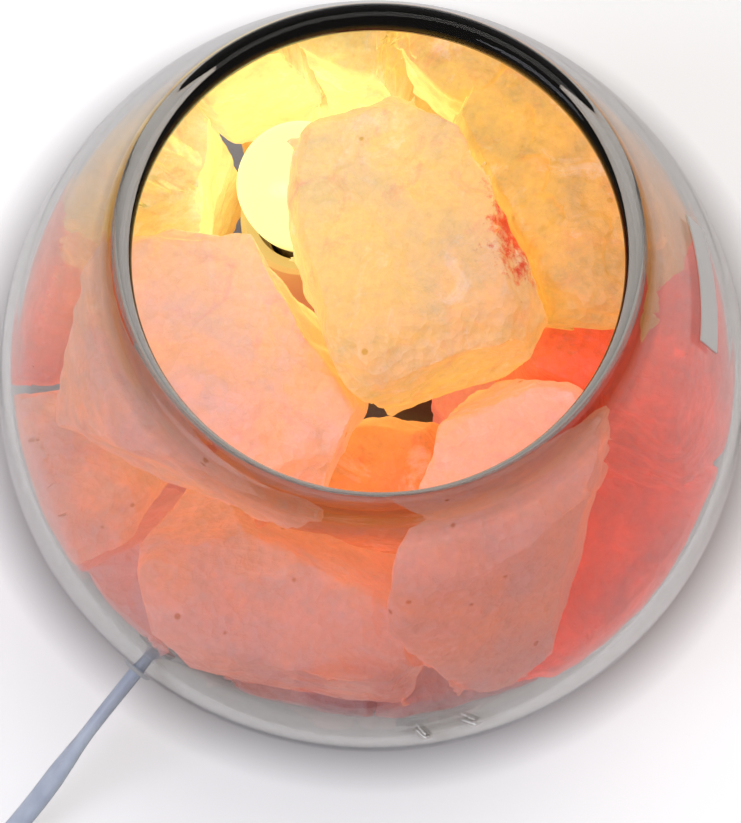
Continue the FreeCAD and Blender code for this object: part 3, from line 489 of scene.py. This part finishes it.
def turnedIn(level, rise, inset):
    # an arc from a level floor into the wall's curve, rise above it, as (radius, height) points
    top = level + rise
    slope = (wallRadius(top + 0.01, inset) - wallRadius(top - 0.01, inset)) / 0.02
    turn = math.atan2(1, slope)
    bend = rise / (1 - math.cos(turn))
    start = wallRadius(top, inset) - bend * math.sin(turn)
    angles = [turn * k / 6 for k in range(6)]
    return [(start + bend * math.sin(a), level + bend * (1 - math.cos(a))) for a in angles]


def makeBowl():
    height, lip = bowl["height"], bowl["lipHeight"]
    outer = wallLine(bowl["footRound"], height - lip, 0)
    inner = wallLine(bowl["floor"] + bowl["floorRound"], height - 2.4 * lip, bowl["wall"])
    crown = bowl["mouth"] + bowl["lipWidth"] / 2
    mouth, ring, hollow = bowl["mouth"], bowl["footRing"], bowl["footHollow"]
    outline = [(0, hollow), (ring / 2, hollow), (ring - 3, hollow), (ring - 2 * hollow, hollow)]
    outline += [(ring - hollow, hollow / 2), (ring, 0.0)]
    outline += turnedIn(0, bowl["footRound"], 0) + outer
    # the fire-polished bead
    for side, edge in ((1, outer[-1][0] - crown), (-1, crown - mouth)):
        bend = (edge**2 + lip**2) / (2 * lip)
        turn = math.atan2(edge, bend - lip)
        angles = [turn * k / 7 for k in range(7)]
        arc = [(crown + side * bend * math.sin(a), height - bend * (1 - math.cos(a))) for a in angles]
        outline += reversed(arc[:-1]) if side > 0 else arc[1:]
    outline += [(mouth, height - lip), (mouth + 0.15, height - 1.5 * lip), (mouth + 1.2, height - 2 * lip)]
    outline += list(reversed(inner))
    outline += reversed(turnedIn(bowl["floor"], bowl["floorRound"], bowl["wall"]))
    outline += [(24, bowl["floor"]), (0, bowl["floor"])]
    piece = lathe("glassBowl", outline, bowl["steps"])
    # the hole for the flex, square to the wall
    outward = Vector(bowl["holeWay"]).normalized()
    spot = onBearing(bowl["holeBearing"], wallRadius(bowl["holeLevel"], 0), bowl["holeLevel"]) * mm
    clearSelection()
    radius = bowl["holeRadius"] * mm
    bpy.ops.mesh.primitive_cylinder_add(vertices=32, radius=radius, depth=0.03, location=spot)
    drill = bpy.context.object
    drill.rotation_euler = outward.to_track_quat("Z", "Y").to_euler()
    bpy.context.view_layer.update()
    cut = piece.modifiers.new("flexHole", "BOOLEAN")
    cut.object = drill
    cut.solver = "EXACT"
    applyAll(piece)
    bpy.data.objects.remove(drill)
    smooth(piece, 50)
    return piece


def makeBowlGlass():
    # soda-lime glass, mouth-blown and fire-polished: clear, with a smoky tint that only shows
    # where the eye looks along the wall, and in the thick bead of the lip its own grey-green, darkened by a
    # painted shade
    material, tree, shader = newMaterial("blownSodaLimeGlass")
    height = put(tree, "ShaderNodeSeparateXYZ", {"Vector": objectPlace(tree)}).outputs["Z"]
    # the lip's base colour goes darker: a painted shade over the bead's own grey-green
    tint = put(tree, "ShaderNodeValToRGB", {"Fac": spread(tree, height, 0.1465, 0.1525)})
    colour = setStops(tint, [(0.0, "#efedeb"), (0.5, "#c2bbb6"), (1.0, "#bcbbb5")])
    tree.links.new(colour, shader.inputs["Base Color"])
    shader.inputs["Roughness"].default_value = 0.0
    shader.inputs["IOR"].default_value = 1.5
    shader.inputs["Transmission Weight"].default_value = 1.0
    shader.inputs["Specular Tint"].default_value = linear("#a09c98")
    output = tree.nodes["Material Output"]
    # light from the lamps and the sky goes straight through, as it would nearly do
    clear = put(tree, "ShaderNodeBsdfTransparent", {"Color": linear("#efedeb")})
    path = put(tree, "ShaderNodeLightPath")
    blend = put(tree, "ShaderNodeMixShader", {0: path.outputs["Is Shadow Ray"]})
    tree.links.new(shader.outputs["BSDF"], blend.inputs[1])
    tree.links.new(clear.outputs["BSDF"], blend.inputs[2])
    tree.links.new(blend.outputs["Shader"], output.inputs["Surface"])
    smoke = put(tree, "ShaderNodeVolumeAbsorption", {"Color": linear("#8a8078"), "Density": 62.0})
    tree.links.new(smoke.outputs["Volume"], output.inputs["Volume"])
    return material


glassBowl = dress(makeBowl(), makeBowlGlass())
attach(glassBowl, "lamp")
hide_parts("glass_bowl")
print("bowl made")


# the salt

lampMiddle = Vector((-18, 32.5, 106)) * mm
glowStops = (18, 35, 55, 75, 95, 120)  # mm from the bulb's middle

rust = {"glow": "#f2501c", "body": "#6a2418"}

saltLooks = {
    # glow is the light, painted in as emission, that comes out at each of those distances, body
    # the salt under plain light where it is dense and where it is cloudy
    "saltAmber": {
        "glow": ["#fff2a0", "#e8bc58", "#e2a440", "#de9438", "#d87c30", "#c86428"],
        "body": ["#86684c", "#9a7c64"],
        "vein": "#d8742c",
    },
    "saltPeach": {
        "glow": ["#fff0a0", "#edc65e", "#dda83c", "#d88c30", "#cf6f2c", "#a0452a"],
        "body": ["#957c73", "#ab918c"],
        "vein": "#d8602c",
        "stain": (26.0, 11.0, 135),
    },
    "saltPale": {
        "glow": ["#ffe080", "#e6a850", "#dc8c40", "#e47e44", "#e06e42", "#b4583c"],
        "body": ["#a18885", "#b49faa"],
        "vein": "#d0583c",
    },
    # saltPale's salt with its painted glow darker and redder: painted shade on the low chunks that others
    # hide from the bulb
    "saltDull": {
        "glow": ["#ffc070", "#dc844a", "#d87848", "#d06848", "#bc5a44", "#7c4038"],
        "body": ["#a18585", "#b4a1aa"],
        "vein": "#b8584c",
    },
    "saltRed": {
        "glow": ["#ffc060", "#f89a48", "#f2743a", "#f45428", "#f64620", "#f2401c"],
        "body": ["#5a2c26", "#7c4c48"],
        "vein": "#c02c20",
        "haze": "#8c6060",
    },
    "saltEmber": {
        "glow": ["#ffd070", "#ffb050", "#f89040", "#ee7030", "#d85428", "#a83c20"],
        "body": ["#6b4433", "#85594a"],
        "vein": "#d03c18",
    },
}


def ironStain(tree, place, middle, mottle):
    # one rust-red patch, longer than it is wide
    offset = put(tree, "ShaderNodeVectorMath", {0: place, 1: Vector(middle) * mm}, operation="SUBTRACT")
    inputs = {0: offset.outputs["Vector"], 1: (1.5, 0.7, 0.6)}
    shaped = put(tree, "ShaderNodeVectorMath", inputs, operation="MULTIPLY").outputs["Vector"]
    near = put(tree, "ShaderNodeVectorMath", {0: shaped}, operation="LENGTH").outputs["Value"]
    edge = sums(tree, "ADD", near, spread(tree, mottle, 0.3, 0.7, -6 * mm, 6 * mm))
    return spread(tree, edge, 10.5 * mm, 6.5 * mm)


def bulbLight(tree, place, away):
    # painted light: how much of the bulb's own light would fall on a side that faces it, as a share for the
    # emission
    toBulb = put(tree, "ShaderNodeVectorMath", {0: lampMiddle, 1: place}, operation="SUBTRACT")
    aim = put(tree, "ShaderNodeVectorMath", {0: toBulb.outputs["Vector"]}, operation="NORMALIZE")
    normal = put(tree, "ShaderNodeNewGeometry").outputs["Normal"]
    inputs = {0: aim.outputs["Vector"], 1: normal}
    facing = put(tree, "ShaderNodeVectorMath", inputs, operation="DOT_PRODUCT").outputs["Value"]
    return sums(tree, "MULTIPLY", spread(tree, facing, 0.2, 0.9), spread(tree, away, 65 * mm, 24 * mm))


def makeSalt(name, look):
    # halite, broken by hand: cloudy crystal with iron-red veins, sugary where it is crushed.
    # Its glow from the bulb inside is painted in as emission that fades and reddens away from the bulb.
    material, tree, shader = newMaterial(name)
    place = objectPlace(tree)
    away = put(tree, "ShaderNodeVectorMath", {0: place, 1: lampMiddle}, operation="DISTANCE").outputs["Value"]
    patches = noise(tree, 24, (0.4, 0.2, 0.9), 5.0, 0.62, 0.8)
    veins = noise(tree, 15, (1.1, 0.7, 0.2), 6.0, 0.7, 1.4)
    mottle = noise(tree, 5.5, (0.3, 1.2, 0.5), 6.0, 0.75)
    grain = noise(tree, 1.5, roughness=0.7)
    cloud = spread(tree, patches, 0.38, 0.64)
    stained = ironStain(tree, place, look["stain"], mottle) if "stain" in look else 0.0

    reach = sums(tree, "ADD", away, spread(tree, mottle, 0.25, 0.75, -9 * mm, 9 * mm))
    depth = spread(tree, reach, glowStops[0] * mm, glowStops[-1] * mm)
    ramp = put(tree, "ShaderNodeValToRGB", {"Fac": depth})
    span = glowStops[-1] - glowStops[0]
    glow = setStops(ramp, [((d - glowStops[0]) / span, h) for d, h in zip(glowStops, look["glow"])])
    redness = sums(tree, "MULTIPLY", spread(tree, veins, 0.55, 0.72), 0.55)
    veined = blended(tree, redness, glow, linear(look["vein"]))
    veined = blended(tree, stained, veined, linear(rust["glow"]))
    lit = bulbLight(tree, place, away)
    # painted light: sides that face the bulb glow yellower and stronger
    tree.links.new(blended(tree, lit, veined, linear("#ffe67c")), shader.inputs["Emission Color"])
    denser = spread(tree, cloud, 0, 1, 1.12, 0.78)
    strong = sums(tree, "MULTIPLY", denser, spread(tree, grain, 0.3, 0.7, 0.9, 1.1))
    strong = sums(tree, "MULTIPLY", strong, spread(tree, mottle, 0.32, 0.68, 0.8, 1.16))
    strong = sums(tree, "ADD", strong, sums(tree, "MULTIPLY", lit, 0.25))
    tree.links.new(strong, shader.inputs["Emission Strength"])

    body = blended(tree, cloud, linear(look["body"][0]), linear(look["body"][1]))
    # pale lavender patches: the salt's own cloudy haze, and partly a painted sheen of the cool side light
    hazeAndSheen = spread(tree, noise(tree, 13, (0.9, 1.5, 0.3), 6.0, 0.68, 1.0), 0.55, 0.68)
    body = blended(tree, sums(tree, "MULTIPLY", hazeAndSheen, 0.8), body, linear(look.get("haze", "#b3a6b0")))
    body = blended(tree, stained, body, linear(rust["body"]))
    # small specks of clay, here and there
    cells = put(tree, "ShaderNodeTexVoronoi", {"Vector": objectPlace(tree, 11), "Scale": 1.0})
    speck = spread(tree, cells.outputs["Distance"], 0.075, 0.045)
    tree.links.new(blended(tree, speck, body, linear("#5a3328")), shader.inputs["Base Color"])
    tree.links.new(spread(tree, grain, 0.3, 0.7, 0.34, 0.66), shader.inputs["Roughness"])
    shader.inputs["IOR"].default_value = 1.54
    shader.inputs["Subsurface Weight"].default_value = 0.5
    shader.inputs["Subsurface Radius"].default_value = (1.0, 0.45, 0.3)
    shader.inputs["Subsurface Scale"].default_value = 4 * mm
    crystal = put(tree, "ShaderNodeTexVoronoi", {"Vector": objectPlace(tree, 2.6), "Scale": 1.0})
    tooth = sums(tree, "ADD", crystal.outputs["Distance"], mottle)
    bump = put(tree, "ShaderNodeBump", {"Height": tooth, "Strength": 0.9, "Distance": 0.9 * mm})
    tree.links.new(bump.outputs["Normal"], shader.inputs["Normal"])
    return material


saltMaterials = {name: makeSalt(name, look) for name, look in saltLooks.items()}

chunkLooks = {
    "salt_keystone": "saltPeach",
    "salt_left_top": "saltPale",
    "salt_front_right_top": "saltPale",
    "salt_right_top": "saltAmber",
    "salt_back_left_top": "saltAmber",
    "salt_left_back_top": "saltAmber",
    "salt_back_top": "saltAmber",
    "salt_back_right_top": "saltAmber",
    "salt_right_mid": "saltRed",
    "salt_front_gap": "saltEmber",
    "salt_front_mid": "saltPale",
    "salt_left_mid": "saltPale",
    "salt_left_front_low": "saltDull",
    "salt_front_low_left": "saltDull",
    "salt_front_low_right": "saltDull",
    "salt_right_front_mid": "saltRed",
    "salt_right_low": "saltRed",
    "salt_far_left": "saltRed",
    "salt_left_back_mid": "saltPeach",
    "salt_back_mid": "saltAmber",
    "salt_right_back_mid": "saltPeach",
    "salt_right_side": "saltRed",
    "salt_floor_left": "saltDull",
    "salt_floor_back": "saltDull",
    "salt_floor_right": "saltDull",
    "salt_floor_front": "saltDull",
    "salt_floor_back_left": "saltDull",
}

breakage = {
    "voxel": 1.1,  # mm
    "round": 5,  # smoothing passes that take the cut edges off
    "swell": (24.0, 5.0, 0.6),  # size and depth of the broad hollows in mm, and how far they go in
    "ledge": (10.0, 2.2, 0.6),
    "chip": (4.5, 1.3, 0.52),
    "settle": 1,
    "clearance": 0.35,  # to the glass
    "leanReach": 32,  # how far from the glass a leaning side may start, and how soon it gives way
    "leanEase": 8,
}
leaning = {
    "salt_far_left": 0.95,
    "salt_left_back_top": 0.95,
    "salt_back_left_top": 0.95,
    "salt_back_top": 0.95,
    "salt_back_right_top": 0.95,
    "salt_right_top": 0.95,
    "salt_right_back_mid": 0.95,
    "salt_right_side": 0.95,
    "salt_right_mid": 0.9,
    "salt_right_front_mid": 0.6,
    "salt_left_mid": 0.7,
    "salt_left_back_mid": 0.95,
    "salt_back_mid": 0.95,
}


def makeTextures():
    swell = bpy.data.textures.new("broadHollows", "CLOUDS")
    swell.noise_scale = breakage["swell"][0] * mm
    swell.noise_depth = 2
    ledge = bpy.data.textures.new("cleavedLedges", "VORONOI")
    ledge.noise_scale = breakage["ledge"][0] * mm
    ledge.distance_metric = "DISTANCE"
    ledge.weight_1, ledge.weight_2 = -1.0, 1.0
    chip = bpy.data.textures.new("crushedChips", "CLOUDS")
    chip.noise_scale = breakage["chip"][0] * mm
    chip.noise_depth = 3
    return {"swell": swell, "ledge": ledge, "chip": chip}


saltTextures = makeTextures()


def keepInside(piece, lean):
    # what the breaking pushed into the glass goes back, and lean brings the outer side of a
    # chunk that rests on the wall nearer to it
    normals = [vertex.normal.copy() for vertex in piece.data.vertices]  # before any vertex moves
    for vertex, normal in zip(piece.data.vertices, normals):
        spot = vertex.co / mm
        level = min(max(spot.z, bowl["floor"] + 1), bowl["height"] - 3 * bowl["lipHeight"])
        room = wallRadius(level, bowl["wall"]) - breakage["clearance"]
        out = math.hypot(spot.x, spot.y)
        outward = max(0, (normal.x * spot.x + normal.y * spot.y) / out)
        close = min(1, max(0, (out - room + breakage["leanReach"]) / breakage["leanEase"]))
        reach = out + (room - out) * lean * outward * close
        vertex.co.x *= min(reach, room) / out
        vertex.co.y *= min(reach, room) / out
        vertex.co.z = max(vertex.co.z, (bowl["floor"] + 0.05) * mm)


def breakSalt(nodeName):
    # a CAD chunk with its edges worn round and its faces broken
    words = nodeName.split("_")
    piece = copyOf(nodeName, words[0] + "".join(w.title() for w in words[1:]))
    remesh = piece.modifiers.new("evenFaces", "REMESH")
    remesh.mode = "VOXEL"
    remesh.voxel_size = breakage["voxel"] * mm
    ease = piece.modifiers.new("wornEdges", "SMOOTH")
    ease.factor = 0.6
    ease.iterations = breakage["round"]
    for part, texture in saltTextures.items():
        push = piece.modifiers.new(part, "DISPLACE")
        push.texture = texture
        push.texture_coords = "LOCAL"
        push.strength = breakage[part][1] * mm
        push.mid_level = breakage[part][2]
    rest = piece.modifiers.new("settled", "SMOOTH")
    rest.factor = 0.5
    rest.iterations = breakage["settle"]
    applyAll(piece)
    keepInside(piece, leaning.get(nodeName, 0))
    pick(piece)
    bpy.ops.object.shade_smooth()
    dress(piece, saltMaterials[chunkLooks[nodeName]])
    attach(piece, "keystone" if nodeName == "salt_keystone" else "lamp")
    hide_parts(nodeName)
    return piece


chunkPieces = {name: breakSalt(name) for name in chunkLooks}
print("salt made", sum(len(p.data.polygons) for p in chunkPieces.values()), "faces")


# the bulb and the lampholder

def makeBulbGlass():
    # thin glass, frosted inside by acid: a soft even glow
    material, tree, shader = newMaterial("frostedBulbGlass")
    shader.inputs["Base Color"].default_value = linear("#4a4638")
    shader.inputs["Roughness"].default_value = 0.25
    height = put(tree, "ShaderNodeSeparateXYZ", {"Vector": objectPlace(tree)}).outputs["Z"]
    share = spread(tree, height, 0.08, 0.104)
    ramp = put(tree, "ShaderNodeValToRGB", {"Fac": share})
    colour = setStops(ramp, [(0.0, "#e89848"), (0.6, "#f4d878"), (1.0, "#e8eea0")])
    tree.links.new(colour, shader.inputs["Emission Color"])
    tree.links.new(spread(tree, share, 0, 1, 0.6, 1.25), shader.inputs["Emission Strength"])
    return material


def plainFinish(name, hexColour, roughness, metallic=0.0, grainSize=0.8, bumpDepth=0.02, mottle=0.06):
    # one even finish with a fine grain, a slight mottle and a touch of wear in its gloss
    material, tree, shader = newMaterial(name)
    level = spread(tree, noise(tree, 14), 0, 1, 1 - mottle, 1 + mottle)
    tint = put(tree, "ShaderNodeVectorMath", {0: linear(hexColour)[:3], "Scale": level}, operation="SCALE")
    tree.links.new(tint.outputs["Vector"], shader.inputs["Base Color"])
    grain = noise(tree, grainSize, detail=3.0)
    rough = spread(tree, grain, 0, 1, roughness * 0.8, roughness * 1.25)
    tree.links.new(rough, shader.inputs["Roughness"])
    bump = put(tree, "ShaderNodeBump", {"Height": grain, "Strength": 0.4, "Distance": bumpDepth * mm})
    tree.links.new(bump.outputs["Normal"], shader.inputs["Normal"])
    shader.inputs["Metallic"].default_value = metallic
    return material


finishes = {
    "mouldedWhiteAbs": plainFinish("mouldedWhiteAbs", "#e4e4e0", 0.38),
    "thermosetCream": plainFinish("thermosetCream", "#e2dccd", 0.42),
    "steatiteInsert": plainFinish("steatiteInsert", "#d8d2c4", 0.6, bumpDepth=0.06),
    "softGreyRubber": plainFinish("softGreyRubber", "#a8a7a6", 0.65, bumpDepth=0.05),
    "whiteStoveEnamel": plainFinish("whiteStoveEnamel", "#dcdad4", 0.3),
    "turnedBrass": plainFinish("turnedBrass", "#c9a35a", 0.28, 1.0),
    "zincPlatedSteel": plainFinish("zincPlatedSteel", "#a9a9aa", 0.34, 1.0),
    "nickelPlate": plainFinish("nickelPlate", "#c8c5bd", 0.2, 1.0),
    "rolledAluminium": plainFinish("rolledAluminium", "#cfcfce", 0.32, 1.0),
    "blackVitrite": plainFinish("blackVitrite", "#16141a", 0.18),
    "drawnTungsten": plainFinish("drawnTungsten", "#8e8880", 0.5, 1.0),
    "coreInsulation": plainFinish("coreInsulation", "#93a7b8", 0.45),
    "clearLabelFilm": plainFinish("clearLabelFilm", "#cfc9c4", 0.3),
}
finishes["frostedBulbGlass"] = makeBulbGlass()
finishes["flexVinyl"] = flexVinyl

nodeFinishes = {
    "cord_grommet": "softGreyRubber",
    "blank_label": "clearLabelFilm",
    "stand_pad": "softGreyRubber",
    "lamp_stand": "whiteStoveEnamel",
    "stand_bush": "mouldedWhiteAbs",
    "threaded_nipple": "turnedBrass",
    "lock_nut": "turnedBrass",
    "holder_cap": "thermosetCream",
    "holder_sleeve": "thermosetCream",
    "holder_insert": "steatiteInsert",
    "thread_shell": "turnedBrass",
    "centre_contact": "turnedBrass",
    "terminal_screws": "zincPlatedSteel",
    "inner_lead": "flexVinyl",
    "lead_cores": "coreInsulation",
    "switch_base": "mouldedWhiteAbs",
    "switch_cover": "mouldedWhiteAbs",
    "switch_rocker": "mouldedWhiteAbs",
    "switch_contacts": "turnedBrass",
    "switch_screws": "zincPlatedSteel",
    "plug_body": "mouldedWhiteAbs",
    "plug_pins": "nickelPlate",
    "bulb_cap": "rolledAluminium",
    "bulb_insulator": "blackVitrite",
    "bulb_contact": "zincPlatedSteel",
    "bulb_envelope": "frostedBulbGlass",
    "bulb_stem": "frostedBulbGlass",
    "filament": "drawnTungsten",
}
for nodeName, finish in nodeFinishes.items():
    node = nodes[nodeName]
    for slot in node.material_slots:
        slot.link = "OBJECT"
        slot.material = finishes[finish]
print("finishes set")


# the floor, the world and the lamps

studio = {
    "floor": "#ecebea",
    # the next colour is a painted shadow: the floor's paint under the lamp
    "shaded": "#b4b2b0",
    "lift": 0.34,  # the white that the eye sees far from the lamp
    "shade": Vector((0, 0.023, 0)),  # the middle of the shadow painted into the floor under the lamp, behind its foot
    "liftReach": (0.094, 0.108),  # metres from there, from none to all of the lift; inside it the floor shows the painted shadow
    "sky": 0.42,
    "ceiling": 0.2,
}


def backgroundRays(tree):
    # what the eye sees straight or through the glass
    path = put(tree, "ShaderNodeLightPath").outputs
    return sums(tree, "MAXIMUM", path["Is Camera Ray"], path["Is Transmission Ray"])


def makeFloor():
    clearSelection()
    bpy.ops.mesh.primitive_plane_add(size=6, location=(0, 0, -0.0002))
    floor = bpy.context.object
    floor.name = "paleFloor"
    material, tree, shader = newMaterial("paleFloorPaint")
    shader.inputs["Roughness"].default_value = 0.9
    shader.inputs["Specular IOR Level"].default_value = 0.1
    seen = backgroundRays(tree)
    places = {0: objectPlace(tree), 1: studio["shade"]}
    away = put(tree, "ShaderNodeVectorMath", places, operation="DISTANCE").outputs["Value"]
    # painted shadow: near the lamp the floor gets no lift and its paint goes darker, painted in rather than
    # cast
    clear = spread(tree, away, *studio["liftReach"])
    lift = sums(tree, "MULTIPLY", sums(tree, "MULTIPLY", seen, clear), studio["lift"])
    paint = blended(tree, clear, linear(studio["shaded"]), linear(studio["floor"]))
    tree.links.new(paint, shader.inputs["Base Color"])
    shader.inputs["Emission Color"].default_value = (1, 1, 1, 1)
    tree.links.new(lift, shader.inputs["Emission Strength"])
    dress(floor, material)


def makeWorld():
    world = bpy.data.worlds.new("softStudio")
    bpy.context.scene.world = world
    world.use_nodes = True
    tree = world.node_tree
    background = tree.nodes["Background"]
    # the backdrop is white to the eye, and the ceiling over it is dim
    way = put(tree, "ShaderNodeTexCoord").outputs["Generated"]
    level = put(tree, "ShaderNodeSeparateXYZ", {"Vector": way}).outputs["Z"]
    white = spread(tree, level, 0.08, 0.35, 1.0, studio["ceiling"])
    seen = backgroundRays(tree)
    inputs = {"Factor": seen, 2: studio["sky"], 3: white}
    strength = put(tree, "ShaderNodeMix", inputs, data_type="FLOAT").outputs[0]
    background.inputs["Color"].default_value = (1, 1, 1, 1)
    tree.links.new(strength, background.inputs["Strength"])


def makeLamp(name, place, size, power, colour):
    lamp = bpy.data.lights.new(name, "AREA")
    lamp.shape = "DISK"
    lamp.size = size
    lamp.energy = power
    lamp.color = linear(colour)[:3]
    holder = bpy.data.objects.new(name, lamp)
    bpy.context.scene.collection.objects.link(holder)
    holder.location = place
    holder.rotation_euler = (Vector(place) - Vector((0, 0, 0.07))).to_track_quat("Z", "Y").to_euler()


makeFloor()
makeWorld()
makeLamp("windowSide", (-0.9, -0.7, 1.1), 0.9, 9.0, "#e6ecff")
makeLamp("softTop", (0.35, 0.5, 1.5), 1.2, 8.0, "#ffffff")
bpy.context.scene.view_settings.view_transform = "Standard"
print("studio set")
